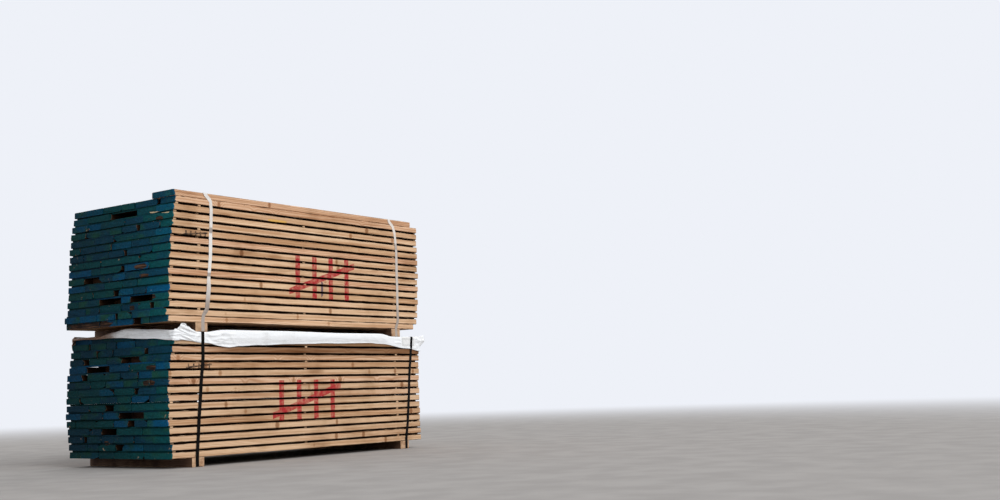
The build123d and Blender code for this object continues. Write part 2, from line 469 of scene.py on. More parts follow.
bow_place = board_tree.vector(x * 0.7, own_a * 60.0, own_b * 60.0)
y = y - side_out * board_tree.noise(bow_place, 1.0, 1.0).ramp(0.3, 0.7) * deepest_bow

placed = move_to(board_tree, placed, x + mid_x, y + mid_y, z + mid_z)
grain = board_tree.vector(x + own_a * grain_step, y + own_b * grain_step, z + own_c * grain_step)
placed = keep(board_tree, placed, "grain", "FLOAT_VECTOR", grain)
placed = keep(board_tree, placed, "from_near_end", "FLOAT", x + half_x)
placed = keep(board_tree, placed, "bark", "FLOAT", (missing * 4.0).least(1.0))
placed = keep(board_tree, placed, "arris", "FLOAT", (abs(up) > 0.99) * (abs(along) < 0.999))
end_tree(board_tree, flat_faces(board_tree, placed), start.output("Wood"))
print("the tree of a board has", len(board_tree.tree.nodes), "nodes")

# %% [markdown]
# ## Sawn softwood, end paint and marks
# Softwood shows light and dark rings of growth, which run as lines along the board and as
# arcs on its end. Here the rings are circles round a pith that lies beside each board, bent
# a little along its length, so one rule gives both looks. Knots go through the thickness, so
# they show as short dark bars on the narrow side. The ends of the shown side are sprayed
# with a blue-green wax that keeps them from drying too fast; it reaches a finger's width
# round the corner, is thin or missing on boards that lie back, and wears off at the edges.

# %% Helpers for materials
def new_finish(name):
    """A new material, its empty tree, and the place on the piece for its patterns."""
    material = bpy.data.materials.new(name)
    tree = empty_tree(material)
    return material, tree, tree.node("ShaderNodeTexCoord", {}, {}, "Object")


def attribute(tree, name, output="Fac"):
    """What a point of the mesh carries under a name."""
    return tree.node("ShaderNodeAttribute",
                     {"attribute_type": "GEOMETRY", "attribute_name": name}, {}, output)


def finish_surface(tree, colour, roughness, bump, depth, **constants):
    """Ends a material: colour, roughness, bumps, and constants on the shader's own sockets."""
    normal = tree.node("ShaderNodeBump", {}, {"Strength": 0.6, "Distance": depth, "Height": bump})
    shader = tree.node("ShaderNodeBsdfPrincipled", {}, {
        "Base Color": colour, "Roughness": roughness, "Normal": normal, **constants})
    tree.node("ShaderNodeOutputMaterial", {}, {0: shader})


def softwood(tree, along, across, through, own):
    """Colour and bump height of sawn softwood; own is three random numbers of the board."""
    a, b, c = own
    ring_width = 0.0065
    sway = tree.noise(tree.vector(along * 0.9, across * 1.0, through * 1.0), 1.0, 2.0)
    knot_place = tree.vector(along * 3.0, across * 6.0, 0.0)
    knots = tree.node("ShaderNodeTexVoronoi", {"voronoi_dimensions": "2D"},
                      {"Vector": knot_place, "Scale": 1.0}, "Distance")
    knot_size = tree.node("ShaderNodeSeparateColor", {}, {0: knots.output("Color")}, 0)
    # The grain of each board starts elsewhere, so that offset is taken off again
    board_y, board_z = across - b * grain_step, through - c * grain_step
    pith_y, pith_z = (a - 0.5) * 0.24, c * 0.10 + 0.025
    radius = ((board_y - pith_y) ** 2.0 + (board_z + pith_z) ** 2.0) ** 0.5
    radius = radius + sway * 0.035 + knots.ramp(0.0, 0.20, 1.0, 0.0) * 0.012
    ring = (radius * (2.0 * math.pi / ring_width)).sine().ramp(-0.6, 1.0)
    fine = tree.noise(tree.vector(along * 6.0, across * 420.0, through * 420.0), 1.0, 2.0)
    streak = tree.noise(tree.vector(along * 0.8, across * 22.0, through * 38.0), 1.0, 3.0)
    pale, pink, tan = srgb(237, 205, 171), srgb(233, 194, 163), srgb(214, 176, 138)
    colour = tree.mix(a.ramp(0.45, 0.95), pale, pink)
    colour = tree.mix(b.ramp(0.5, 1.0, 0.0, 0.8), colour, tan)
    colour = tree.tinted(ring * 0.55, colour, srgb(214, 186, 160))
    colour = tree.tinted(streak.ramp(0.42, 0.72, 0.0, 0.7), colour, srgb(206, 182, 160))
    colour = tree.tinted(fine.ramp(0.4, 0.75, 0.0, 0.5), colour, srgb(200, 176, 150))
    from_knot = knots + abs(board_z) * 0.9
    knot = (from_knot - (knot_size * 0.035 + 0.026)).ramp(-0.008, 0.008, 1.0, 0.0)
    halo = (from_knot - (knot_size * 0.035 + 0.036)).ramp(0.0, 0.030, 1.0, 0.0)
    colour = tree.tinted(halo * 0.6, colour, srgb(196, 158, 122))
    colour = tree.mix(knot * 0.5, colour, srgb(118, 82, 56))
    return colour, ring * 0.35 + fine * 0.5 + knot * 0.4


print("softwood can be mixed")

# %% [markdown]
# The marks on the side are sprayed on while the packs stand ready. They are kept plain: a
# tally of red strokes across the boards, and a few small black ticks on one board. The paint
# lies only on the faces that look outwards, and only as a worn, speckled film.

# %% Board material
def strokes(x, z, left, right, low, high, count, width):
    """A tally: upright strokes between two limits, and one slanting stroke through them."""
    inside = (x > left) * (x < right) * (z > low) * (z < high)
    pitch = (right - left) / count
    upright = abs(((x - left) / pitch).math("FRACT") - 0.5) < (0.5 * width / pitch)
    slope = (high - low) * 0.7 / (right - left)
    line = (x - (left + right) / 2) * slope
    slant = abs(z - (high + low) / 2 - line) < width * 0.5
    return inside * upright.most(slant)


def on_patches(tree, sideways, z, patches):
    """1 on ragged patches of a face; each is given by its middle, half its size and its slant."""
    place = tree.vector(0.0, sideways * 26.0, z * 60.0)
    ragged = tree.noise(place, 1.0, 3.0).ramp(0.3, 0.7, 0.5, 1.3)
    covered = 0.0
    for middle, middle_z, half_width, half_height, slant in patches:
        line = z - middle_z - (sideways - middle) * slant
        away = abs((sideways - middle) / half_width) ** 4.0 + abs(line / half_height) ** 4.0
        covered = (away < ragged).most(covered)
    return covered


nowhere = ((0.0, 0.0, 0.001, 0.001, 0.0),)
red_strokes, black_strokes = (4, 0.055), (5, 0.014)  # how many, and how wide
wax_reach = 0.08  # no wax further than this from the end


def board_finish(name, pack, brightness, wax_brightness, top_layers_share, marks=None, shaded_holes=nowhere,
                 bare=nowhere, side_spots=()):
    """Sawn board: aged wood, bark on waney corners, marks on the side and wax on the near end.

    marks are the limits of the red and the black tally on the outer side, and side_spots are
    colours with their patches there. The other two lists are patches of the waxed end: holes,
    where painted shade darkens the brown wood, and pale bare wood.
    """
    material, tree, place = new_finish(name)
    own = attribute(tree, "own", "Vector").parts()
    a, b, _ = own
    along, across, through = attribute(tree, "grain", "Vector").parts()
    colour, bump = softwood(tree, along, across, through, own)
    x, y, z = place.parts()
    face_x, face_y, face_z = tree.node("ShaderNodeNewGeometry", {}, {}, "Normal").parts()
    on_end = face_x < -0.6

    # Age: a little grey dust and damp at random
    weather = tree.noise(place, 2.2, 5.0, 0.6)
    colour = tree.tinted(weather.ramp(0.45, 0.75, 0.0, 0.8), colour, srgb(214, 206, 196))
    blotch = tree.noise(tree.vector(along * 2.0, across * 9.0, through * 9.0), 1.0, 4.0)
    colour = tree.tinted(blotch.ramp(0.58, 0.75, 0.0, 0.5), colour, srgb(180, 156, 132))
    colour = tree.darkened(colour, brightness)
    # Painted shade, with some grime: the side faces darken along their long edges beside the gaps
    arris_grime_and_shade = attribute(tree, "arris") * (abs(face_z) < 0.6)
    colour = tree.tinted(arris_grime_and_shade, colour, srgb(84, 70, 62))

    # Top layers go darker and browner past the near end; a pack's downward base faces go greyer
    top, base = pack_top[pack], pack_base[pack]
    tint_from_height, tint_full_height = top - 0.215, top - 0.150
    top_layers_tint = z.ramp(tint_from_height, tint_full_height) * x.ramp(-1.25, -0.75, 0.25, 1.0) * top_layers_share
    colour = tree.tinted(top_layers_tint, colour, srgb(176, 164, 150))
    underside = (face_z < -0.7) * (z < base + 0.002)
    colour = tree.tinted(underside, colour, srgb(176, 168, 158))

    # Bark and the brown skin under it
    bark = attribute(tree, "bark")
    bark_speck = tree.noise(tree.vector(along * 7.0, across * 30.0, through * 30.0), 1.0, 4.0)
    bark_colour = tree.mix(bark_speck.ramp(0.35, 0.65), srgb(70, 50, 36), srgb(146, 110, 78))
    colour = tree.mix(bark.ramp(0.05, 0.5), colour, bark_colour)
    bump = bump + bark * bark_speck * 2.0

    # Tallies and spots on the outer side
    if marks:
        red_area, black_area = marks
        outer = face_y < -0.5
        worn = tree.noise(place, 26.0, 5.0, 0.7).ramp(0.40, 0.62, 0.97, 0.6)
        red = strokes(x, z, *red_area, *red_strokes) * outer * worn
        colour = tree.mix(red, colour, srgb(174, 42, 50))
        black = strokes(x, z, *black_area, *black_strokes) * outer * worn
        colour = tree.mix(black, colour, srgb(44, 38, 36))
        for spot_colour, spots in side_spots:
            spot = on_patches(tree, x, z, spots) * outer * 0.8
            colour = tree.mix(spot, colour, spot_colour)

    # Wax on the near end
    from_end = attribute(tree, "from_near_end")
    setback = attribute(tree, "setback")
    edge = tree.noise(place, 30.0, 3.0).ramp(0.3, 0.7, 0.006, 0.024)
    wax = on_end.most((from_end - edge).ramp(-0.004, 0.002, 1.0, 0.0))
    wax = wax * (from_end < wax_reach)
    thin = tree.noise(place, 14.0, 5.0, 0.65).ramp(0.66, 0.74, 1.0, 0.35)
    is_recessed = setback.ramp(0.04, 0.09)
    # Painted shade: ends of boards that lie back are darkened as their recess shades them
    colour = tree.tinted(on_end * is_recessed, colour, srgb(96, 78, 66))
    wax = wax * thin * (1.0 - is_recessed * 0.85)
    deep, bright = srgb(4, 50, 68), srgb(0, 66, 98)
    teal, moss = srgb(4, 62, 66), srgb(20, 66, 56)
    blend = tree.noise(tree.vector(a * 30.0, y * 5.0 + b * 9.0, z * 8.0), 1.0, 2.0)
    wax_colour = tree.mix(a.ramp(0.3, 0.7), teal, deep)
    wax_colour = tree.mix(b.ramp(0.72, 0.95), wax_colour, bright)
    wax_colour = tree.mix(blend.ramp(0.5, 0.75), wax_colour, moss)
    mottle = tree.noise(place, 60.0, 4.0).ramp(0.3, 0.7, 0.72, 1.12)
    # Painted light: the wax is paler towards the front side, where more light falls, and darker
    # behind
    painted_light_to_the_front = in_steps(y, (-0.65, 2.1), (-0.3, 1.45), (0.0, 1.1), (0.65, 0.75))
    wax_colour = tree.darkened(wax_colour, mottle * painted_light_to_the_front * wax_brightness)
    colour = tree.mix(wax, colour, wax_colour)

    # Painted shade: faces between the layers and between boards are darkened, as no sky reaches
    # them
    shade_between_layers = (abs(face_z) > 0.7) * (z < top - 0.005) * (1.0 - underside)
    shade_between_boards = (abs(face_y) > 0.5) * (abs(y) < board_side - 0.03) * (1.0 - wax) * (z < top)
    colour = tree.tinted(shade_between_layers.most(shade_between_boards), colour, srgb(64, 55, 50))

    # Holes in the end, brown wood darkened by painted shade, and pale places that the wax missed
    splinters = tree.noise(tree.vector(0.0, y * 5.0, z * 90.0), 1.0, 3.0).ramp(0.45, 0.75)
    brown = tree.mix(splinters, srgb(34, 24, 20), srgb(112, 80, 60))
    colour = tree.mix(on_patches(tree, y, z, shaded_holes) * on_end, colour, brown)
    colour = tree.mix(on_patches(tree, y, z, bare) * on_end, colour, srgb(236, 208, 168))
    saw = tree.noise(tree.vector(along * 160.0, across * 3.0, through * 3.0), 1.0, 1.0)
    finish_surface(tree, colour, 0.82 - wax * 0.2, bump + saw * 0.3, 0.0012,
                   **{"Specular IOR Level": 0.06})
    return material


upper_marks = ((-0.204, 0.615, 1.37, 1.75), (-1.347, -1.105, 1.822, 1.860))
lower_marks = ((-0.412, 0.410, 0.315, 0.665), (-1.327, -1.066, 0.769, 0.807))
upper_shaded_holes = ((-0.49, 1.955, 0.045, 0.022, 0.0), (-0.31, 1.590, 0.075, 0.020, 0.0),
                (-0.36, 1.510, 0.050, 0.018, 0.0), (-0.43, 1.340, 0.060, 0.018, 0.0),
                (-0.20, 1.264, 0.030, 0.020, 0.0), (0.33, 1.155, 0.300, 0.026, 0.0))
upper_bare = ((-0.478, 2.010, 0.135, 0.006, 0.10),)
lower_shaded_holes = ((-0.43, 0.785, 0.060, 0.018, 0.0), (-0.415, 0.665, 0.065, 0.020, 0.0),
                (0.135, 0.200, 0.030, 0.018, 0.0))
upper_spots = ((srgb(226, 176, 88), ((-0.33, 2.026, 0.110, 0.010, 0.0),)),
               (srgb(62, 54, 84), ((0.195, 1.465, 0.014, 0.070, 0.0),)))
upper_boards_finish = board_finish("upper_boards_finish", "upper", 1.03, 1.0, 0.0, upper_marks,
                                   upper_shaded_holes, upper_bare, upper_spots)
# Painted shade: the lower pack's wax is set darker, as its end lies nearer the ground
lower_boards_finish = board_finish("lower_boards_finish", "lower", 0.93, 0.785, 1.0, lower_marks,
                                   lower_shaded_holes)
print("board finish has", len(lower_boards_finish.node_tree.nodes), "nodes")

# %% Making the boards of every layer
def mesh_with_values(name, points, edges, faces, values):
    """A mesh; values holds for each name a vector or a number for every point."""
    mesh = bpy.data.meshes.new(name)
    mesh.from_pydata(points, edges, faces)
    for title, column in values.items():
        is_vector = not isinstance(column[0], float)
        layer = mesh.attributes.new(title, "FLOAT_VECTOR" if is_vector else "FLOAT", "POINT")
        for item, value in zip(layer.data, column):
            setattr(item, "vector" if is_vector else "value", value)
    return mesh


def points_of_blocks(name, blocks):
    """A point for each block; a block has its low and high corner first, then other values."""
    values = {"middle": [(block["low"] + block["high"]) / 2 for block in blocks],
              "half_size": [(block["high"] - block["low"]) / 2 for block in blocks]}
    for title in list(blocks[0])[2:]:
        values[title] = [block[title] for block in blocks]
    return mesh_with_values(name, [(0, 0, 0)] * len(blocks), [], [], values)


def made_by_nodes(name, mesh, tree, settings):
    """Runs a Geometry Nodes tree on a mesh and returns a plain object with the result."""
    source = add_object(name + "_source", mesh)
    modifier = source.modifiers.new("nodes", "NODES")
    modifier.node_group = tree.tree
    for item in tree.tree.interface.items_tree:
        if item.item_type == "SOCKET" and item.in_out == "INPUT" and item.name in settings:
            modifier[item.identifier] = settings[item.name]
    bpy.context.view_layer.update()
    evaluated = source.evaluated_get(bpy.context.evaluated_depsgraph_get())
    result = bpy.data.meshes.new_from_object(evaluated)
    result.name = name
    bpy.data.objects.remove(source)
    return add_object(name, result)


def board_values(boards, chooser):
    """What the tree and the finish of a board read on its point.

    That is its waney corner and cuts, the side of the pack that it is on, three random numbers
    of its own, and how far its near end lies back.
    """
    first = min(board["low"].x for board in boards)
    blocks = []
    for board in boards:
        low, high = board["low"], board["high"]
        side_out = (high.y > board_side - 0.001) - (low.y < 0.001 - board_side)
        blocks.append({"low": low, "high": high, "corner": (*board["corner"], side_out),
                       "cut": (*board["cut"], 0), "own": [chooser.random() for _ in range(3)],
                       "setback": low.x - first})
    return blocks


def triangles(piece):
    """How many triangles a piece has."""
    return sum(len(face.vertices) - 2 for face in piece.data.polygons)


chooser = Random(7)
board_triangles = 0
for name in layer_names:
    pack = name.split("_")[0]
    finish = upper_boards_finish if pack == "upper" else lower_boards_finish
    mesh = points_of_blocks(name + "_points", board_values(layers[name], chooser))
    layer = made_by_nodes(name.replace("_layer_", "_boards_"), mesh, board_tree, {"Wood": finish})
    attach(layer, "root")
    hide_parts(name)
    pack + "_boards"
    board_triangles += triangles(layer)
print("boards are made of", board_triangles, "triangles")

# %% [markdown]
# ## Laths
# Between two layers lie five thin laths, so that air can pass. They are rough offcuts: none is
# quite as long as the pack is wide, none lies quite square, and those at the near end took
# the same wax as the boards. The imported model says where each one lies, and Geometry Nodes
# set a small rough block there, shorten it at random and turn it a little.

# %% Laths
lath_tree, start, laid, inside, half, middle = blocks_on_points(
    "thin_laths", {"Wood": "NodeSocketMaterial", "Most Missing": "NodeSocketFloat"}, (3, 9, 3))
(across, along, up), (half_x, half_y, half_z), (mid_x, mid_y, mid_z) = inside, half, middle
own_a, own_b, own_c = kept(lath_tree, "own", "FLOAT_VECTOR").parts()
near_end_row, inner_row = 1.35, 0.5
missing_at_front = (along < 0.0) * own_a * start.output("Most Missing")
missing_behind = (along > 0.0) * own_b * start.output("Most Missing") * 0.3
y = along * half_y + missing_at_front - missing_behind
rough_place = lath_tree.vector(own_a * 90.0, y * 9.0, across + up * 3.0)
rough = lath_tree.noise(rough_place, 1.0, 2.0).ramp(0.3, 0.7, -0.0015, 0.0)
x = across * (half_x + rough) + (own_c - 0.5) * 0.010 * along
x = x + (own_c * 0.015 + 0.020) * (mid_x < -near_end_row) - own_c * 0.006 * (mid_x > near_end_row)
x = x - (along + 1.0) * 0.035 * (abs(mid_x) < inner_row)
z = up * (half_z + rough * 0.3)
laid = move_to(lath_tree, laid, x + mid_x, y + mid_y, z + mid_z)
grain = lath_tree.vector(y + own_a * grain_step, x + own_b * grain_step, z + own_c * grain_step)
laid = keep(lath_tree, laid, "grain", "FLOAT_VECTOR", grain)
laid = keep(lath_tree, laid, "from_near_end", "FLOAT", x + half_x)
end_tree(lath_tree, flat_faces(lath_tree, laid), start.output("Wood"))

lath_finish = board_finish("lath_finish", "upper", 0.95, 0.9, 0.0)
for pack in ("lower", "upper"):
    name = pack + "_pack_laths"
    blocks = []
    for points in loose_parts(name):
        low, high = corners_of(points)
        blocks.append({"low": low, "high": high, "own": [chooser.random() for _ in range(3)],
                       "setback": 0.0 if low.x < -near_end_row else 1.0, "bark": 0.0})
    laths = made_by_nodes(pack + "_laths_laid", points_of_blocks(name + "_points", blocks),
                          lath_tree, {"Wood": lath_finish, "Most Missing": 0.05})
    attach(laths, "root")
    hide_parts(name)
    print(pack, "pack:", len(blocks), "laths,", triangles(laths), "triangles")

# %% [markdown]
# ## Straps
# A strap is a thin band pulled round the pack and its bearer, never quite upright and never
# quite flat: between its bends it turns a little on its own axis, so it catches the light in
# some places and not in others. A band follows a path, so Geometry Nodes sweep a flat
# rectangle along the outline of the pack; noise along the path turns and shifts it.

# %% The tree of a strap
strap_sizes = ("Width", "Thickness", "Turn", "Seed")
strap_tree = new_geometry_tree("flat_strap", {
    "Band": "NodeSocketMaterial", **{title: "NodeSocketFloat" for title in strap_sizes}})
start = strap_tree.node("NodeGroupInput")
width, thickness, turn_share, seed = (start.output(title) for title in strap_sizes)
path = strap_tree.node("GeometryNodeMeshToCurve", {}, {0: start})
_, place_y, place_z = strap_tree.node("GeometryNodeInputPosition").parts()
free = kept(strap_tree, "free", "FLOAT")
wave_place = strap_tree.vector(seed * 7.0, place_y * 1.5, place_z * 3.2)
sway_place = strap_tree.vector(seed * 9.0 + 4.0, place_y, place_z * 2.0)
wave, sway = (strap_tree.noise(place, 1.0, 1.0) for place in (wave_place, sway_place))
turn = (wave - 0.5) * free * turn_share * 4.0 + kept(strap_tree, "twist", "FLOAT") * free

# A band that turns on itself stands off the boards by half its width times the turn
outward = kept(strap_tree, "outward", "FLOAT_VECTOR")
lift = abs(turn) * width * 0.5 + thickness * 0.5
lifted = strap_tree.node("ShaderNodeVectorMath", {"operation": "SCALE"},
                         {0: outward, "Scale": lift})
swayed = strap_tree.vector((sway - 0.5) * free * 0.03, 0.0, 0.0)
shift = strap_tree.vector_math("ADD", lifted, swayed)
path = strap_tree.node("GeometryNodeSetPosition", {}, {"Geometry": path, "Offset": shift})
path = strap_tree.node("GeometryNodeSetCurveNormal", {"mode": "FREE"},
                       {"Curve": path, "Normal": outward})
path = strap_tree.node("GeometryNodeSetCurveTilt", {}, {"Curve": path, "Tilt": turn})
section = strap_tree.node("GeometryNodeCurvePrimitiveQuadrilateral", {"mode": "RECTANGLE"},
                          {"Width": thickness, "Height": width})
band = strap_tree.node("GeometryNodeCurveToMesh", {}, {"Curve": path, "Profile Curve": section})
end_tree(strap_tree, flat_faces(strap_tree, band), start.output("Band"))


def between(stops, place, is_soft=True):
    """A value between stops of (place, value), on a soft or a straight line."""
    if place <= stops[0][0]:
        return stops[0][1]
    for (start, first), (end, last) in zip(stops, stops[1:]):
        if place <= end:
            share = (place - start) / (end - start)
            share = share * share * (3 - 2 * share) if is_soft else share
            return first + (last - first) * share
    return stops[-1][1]


def strap_path(name, outline, in_front, behind, twists, radius=0.006, spacing=0.02):
    """A closed path round an outline of (y, z), with rounded bends.

    in_front and behind give its X at some heights, and twists how far it turns on itself there.
    """
    points, outwards, frees, turns = [], [], [], []
    held_length = 0.12  # a bend holds the band flat over this length

    def add(y, z, direction, is_free):
        share = min(1.0, max(0.0, 0.5 - y / (2 * board_side)))
        x = share * between(in_front, z, False) + (1 - share) * between(behind, z, False)
        points.append((x, y, z))
        outwards.append((0.0, direction[0], direction[1]))
        frees.append(float(is_free))
        turns.append(share * between(twists, z))

    count = len(outline)
    for index in range(count):
        before, here, after = (Vector(outline[(index + step) % count]) for step in (-1, 0, 1))
        arrive, leave = (here - before).normalized(), (after - here).normalized()
        side_in, side_out = Vector((arrive.y, -arrive.x)), Vector((leave.y, -leave.x))
        for share in (0.0, 0.25, 0.5, 0.75, 1.0):
            first = here - arrive * radius * (1 - share)
            bend = first.lerp(here + leave * radius * share, share)
            is_bent = side_in.angle(side_out) > 1e-3
            add(bend.x, bend.y, side_in.slerp(side_out, share) if is_bent else side_in, False)
        run_start, run_end = here + leave * radius, after - leave * radius
        length = (run_end - run_start).length
        steps = int(length / spacing)
        for step in range(1, steps):
            spot = run_start.lerp(run_end, step / steps)
            margin = min(step, steps - step) * spacing
            add(spot.x, spot.y, side_out, abs(leave.y) > 0.5 and min(1.0, margin / held_length))
    edges = [(index, (index + 1) % len(points)) for index in range(len(points))]
    values = {"outward": outwards, "free": frees, "twist": turns}
    return mesh_with_values(name, points, edges, [], values)


# %% The finish of the straps
def strap_finish(name, colour, dust, roughness, shine, soil_and_shade_heights=()):
    """Plastic band: fine ribs along it, dust in patches, and grey bands at some heights.

    Each band is partly soil and partly painted shade, given by its height, reach and strength.
    """
    material, tree, place = new_finish(name)
    x, _, z = place.parts()
    rib_pitch, soil = 0.004, srgb(150, 135, 125)
    ribs = (x * (2.0 * math.pi / rib_pitch)).sine()
    patches = tree.noise(place, 9.0, 4.0, 0.6)
    colour = tree.mix(patches.ramp(0.4, 0.7, 0.0, 0.6), colour, dust)
    for height, reach, share in soil_and_shade_heights:
        soil_and_shade = abs(z - height).ramp(reach * 0.7, reach * 1.3, share, 0.0)
        colour = tree.mix(soil_and_shade, colour, soil)
    colour = tree.tinted(ribs.ramp(-1.0, 1.0, 0.0, 0.25), colour, srgb(150, 146, 140))
    rough = patches.ramp(0.3, 0.7, roughness - 0.08, roughness + 0.1)
    finish_surface(tree, colour, rough, ribs, 0.0004, **{"Specular IOR Level": shine})
    return material


dark_strap_finish = strap_finish("dark_strap_finish", srgb(8, 7, 7), srgb(28, 24, 22), 0.45, 0.05)
# The grey bands on the pale straps are partly soil and partly painted shade, where the band turns
# edge-on and beside the seals
near_pale_finish = strap_finish(
    "near_pale_finish", srgb(250, 247, 243), srgb(228, 218, 208), 0.5, 0.2,
    [(1.88, 0.022, 0.8), (1.519, 0.016, 0.8), (1.34, 0.14, 0.35), (1.10, 0.22, 0.75)])
far_pale_finish = strap_finish(
    "far_pale_finish", srgb(246, 238, 230), srgb(222, 208, 194), 0.5, 0.2,
    [(1.52, 0.42, 0.40), (1.92, 0.03, 0.5), (1.10, 0.22, 0.6)])
print("strap finishes:", dark_strap_finish.name, near_pale_finish.name, far_pale_finish.name)

# %% [markdown]
# Each strap follows the outline of its pack: under the bearer, up the sides, and over the top
# or the sheet, and the right black one also over both corner pieces. How each one leans and
# bends was measured in the picture, as its X at some heights.

# %% Four straps
groove_rise = 0.0035
sheet_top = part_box("lower_pack_cover")[1].z
lower_bottom, upper_bottom = groove_rise, sheet_top + groove_rise
stack_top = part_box("upper_pack_layer_17")[1]
flat_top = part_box("upper_pack_layer_16")[1].z
plate_low, plate_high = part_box("corner_piece_front")
sheet_side = board_side + 0.001
wall, slope = 0.002, 0.03
leg = plate_high.z - plate_low.z - wall
upper_outline = [(-board_side, upper_bottom), (board_side, upper_bottom), (board_side, flat_top),
                 (stack_top.y, stack_top.z), (-board_side, stack_top.z)]
lower_outline = [(-sheet_side, lower_bottom), (sheet_side, lower_bottom),
                 (sheet_side, sheet_top), (-sheet_side, sheet_top)]
covered_side = [(sheet_side, lower_bottom), (sheet_side, sheet_top - leg - slope),
                (sheet_side + wall, sheet_top - leg), (sheet_side + wall, sheet_top + wall),
                (sheet_side - leg, sheet_top + wall), (sheet_side - leg - slope, sheet_top)]
covered_outline = covered_side + [(-y, z) for y, z in reversed(covered_side)]
band_width, band_thickness = 0.032, 0.001
untwisted = [(0.0, 0.0)]
straps = {"lower_strap_left": (lower_outline, dark_strap_finish, 0.05, untwisted, [
              (0.073, -1.219), (0.379, -1.195), (0.547, -1.179), (0.866, -1.157), (1.067, -1.160)]),
          "lower_strap_right": (covered_outline, dark_strap_finish, 0.05, untwisted, [
              (0.088, 1.293), (0.247, 1.321), (0.464, 1.345), (0.683, 1.365), (1.055, 1.403)]),
          "upper_strap_left": (upper_outline, near_pale_finish, 0.10, [
              (1.200, 0.0), (1.260, 0.75), (1.400, 0.75), (1.500, 0.0)], [
              (1.155, -1.157), (1.192, -1.150), (1.233, -1.124), (1.321, -1.117), (1.519, -1.098),
              (1.675, -1.083), (1.907, -1.076), (2.055, -1.072), (2.122, -1.075), (2.146, -1.100),
              (2.162, -1.125), (2.179, -1.135)]),
          "upper_strap_right": (upper_outline, far_pale_finish, 0.05, untwisted, [
              (1.065, 1.186), (1.138, 1.178), (1.211, 1.208), (1.490, 1.215), (1.862, 1.212),
              (1.991, 1.199), (2.050, 1.191), (2.114, 1.166), (2.149, 1.120), (2.179, 1.105)])}
for seed, (name, (outline, finish, turn, twists, in_front)) in enumerate(straps.items()):
    low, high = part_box(name)
    behind = [(low.z, low.x + band_width / 2), (high.z, high.x - band_width / 2)]
    path = strap_path(name + "_path", outline, in_front, behind, twists)
    band = made_by_nodes(name.replace("strap", "band"), path, strap_tree,
                         {"Band": finish, "Width": band_width, "Thickness": band_thickness,
                          "Turn": turn, "Seed": float(seed)})
    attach(band, "root")
    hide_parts(name)
    "dark_straps" if "lower" in name else "pale_straps"
    print(band.name, "has", triangles(band), "triangles")

# %% [markdown]
# ## The white sheet
# Between the packs lies a sheet of thin woven plastic that keeps rain off the lower boards.
# It is pressed flat under the bearers, pulled tight under the dark straps, and puffs up
# between them; its skirt hangs down all round with an uneven hem. It could be draped by
# simulation, but where it is pinched and how far each stretch of hem hangs is known from the
# picture, so it is built as a lid: closed rings of points run round the pack, from the
# middle of the top over the edge and down to the hem, and creases are pressed into them.

# %% Where the sheet is held, and how far it hangs
low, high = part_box("lower_pack_cover")
half_sheet = (high.y - low.y) / 2


def middle_and_half(node_name):
    """The middle and half the width of a node along the pack."""
    first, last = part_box(node_name)
    return (first.x + last.x) / 2, (last.x - first.x) / 2


bearer_places = [middle_and_half("upper_bearer_" + side) for side in ("left", "right")]
strap_places = [(-1.160, band_width / 2), (1.403, band_width / 2)]
plate_place = middle_and_half("corner_piece_front")

# Heights along each side: of the hem, of the puff at the near end, and how rumpled it is
hem_in_front = [(-1.442, 0.985), (-1.384, 0.989), (-1.156, 0.969), (-0.894, 0.936),
                (-0.773, 0.947), (-0.551, 0.957), (-0.209, 0.972), (0.321, 0.983),
                (0.805, 0.993), (0.950, 0.986), (1.360, 0.944), (1.515, 0.920)]
hem_behind = [(-1.44, 0.960), (-1.1, 0.975), (-0.5, 0.948), (0.2, 0.962), (0.8, 0.940),
              (1.52, 0.955)]
hem_near_end = [(-0.65, 0.990), (-0.36, 1.014), (0.10, 1.042), (0.65, 1.048)]
hem_far_end = [(-0.65, 0.920), (-0.3, 0.965), (0.2, 0.985), (0.65, 0.962)]
puff_height = 0.024
puff_near_end = [(-0.65, 0.010), (-0.36, 0.030), (-0.06, 0.050), (0.12, 0.030), (0.30, 0.008),
                 (0.65, 0.006)]
rumpled = [(-1.44, 1.0), (-0.92, 1.0), (-0.78, 0.2), (1.10, 0.2), (1.28, 1.0), (1.53, 1.0)]


def held_down(place, reach=0.16):
    """1 where a bearer or strap presses the long edge down, 0 where the sheet is free."""
    pressed = 0.0
    for centre, half in bearer_places + strap_places + [plate_place]:
        away = max(0.0, abs(place - centre) - half)
        pressed = max(pressed, math.exp(-(away / reach) ** 2 * 3))
    return pressed


def crumple(x, y, z, size, seed):
    """Sharp-crested noise from 0 to 1, as creases in stiff film make it."""
    value = 1 - abs(noise.noise(Vector((x / size, y / size, z / size + seed * 17.3)))) * 2
    return max(0.0, value) ** 3


def clipped(value):
    """The value, but not below 0 and not above 1."""
    return min(1.0, max(0.0, value))


print("held by", len(bearer_places), "bearers,", len(strap_places), "straps and a corner piece")

# %% Stations round the rim
def rim_stations(spacing=0.010, radius=0.012, turns=6):
    """Places round the rim, each with the direction outwards there."""
    stations = []
    corners = [(low.x, -half_sheet), (high.x, -half_sheet), (high.x, half_sheet),
               (low.x, half_sheet)]
    centres = [Vector((x - math.copysign(radius, x), y - math.copysign(radius, y)))
               for x, y in corners]
    for index, centre in enumerate(centres):
        angle = math.pi * (1 + index / 2)
        for turn in range(turns):
            heading = angle + (turn + 0.5) / turns * math.pi / 2
            outward = Vector((math.cos(heading), math.sin(heading)))
            stations.append((centre + outward * radius, outward))
        heading = angle + math.pi / 2
        outward = Vector((math.cos(heading), math.sin(heading)))
        run_start = centre + outward * radius
        run_end = centres[(index + 1) % 4] + outward * radius
        steps = int((run_end - run_start).length / spacing)
        for step in range(steps):
            stations.append((run_start.lerp(run_end, step / steps), outward))
    return stations


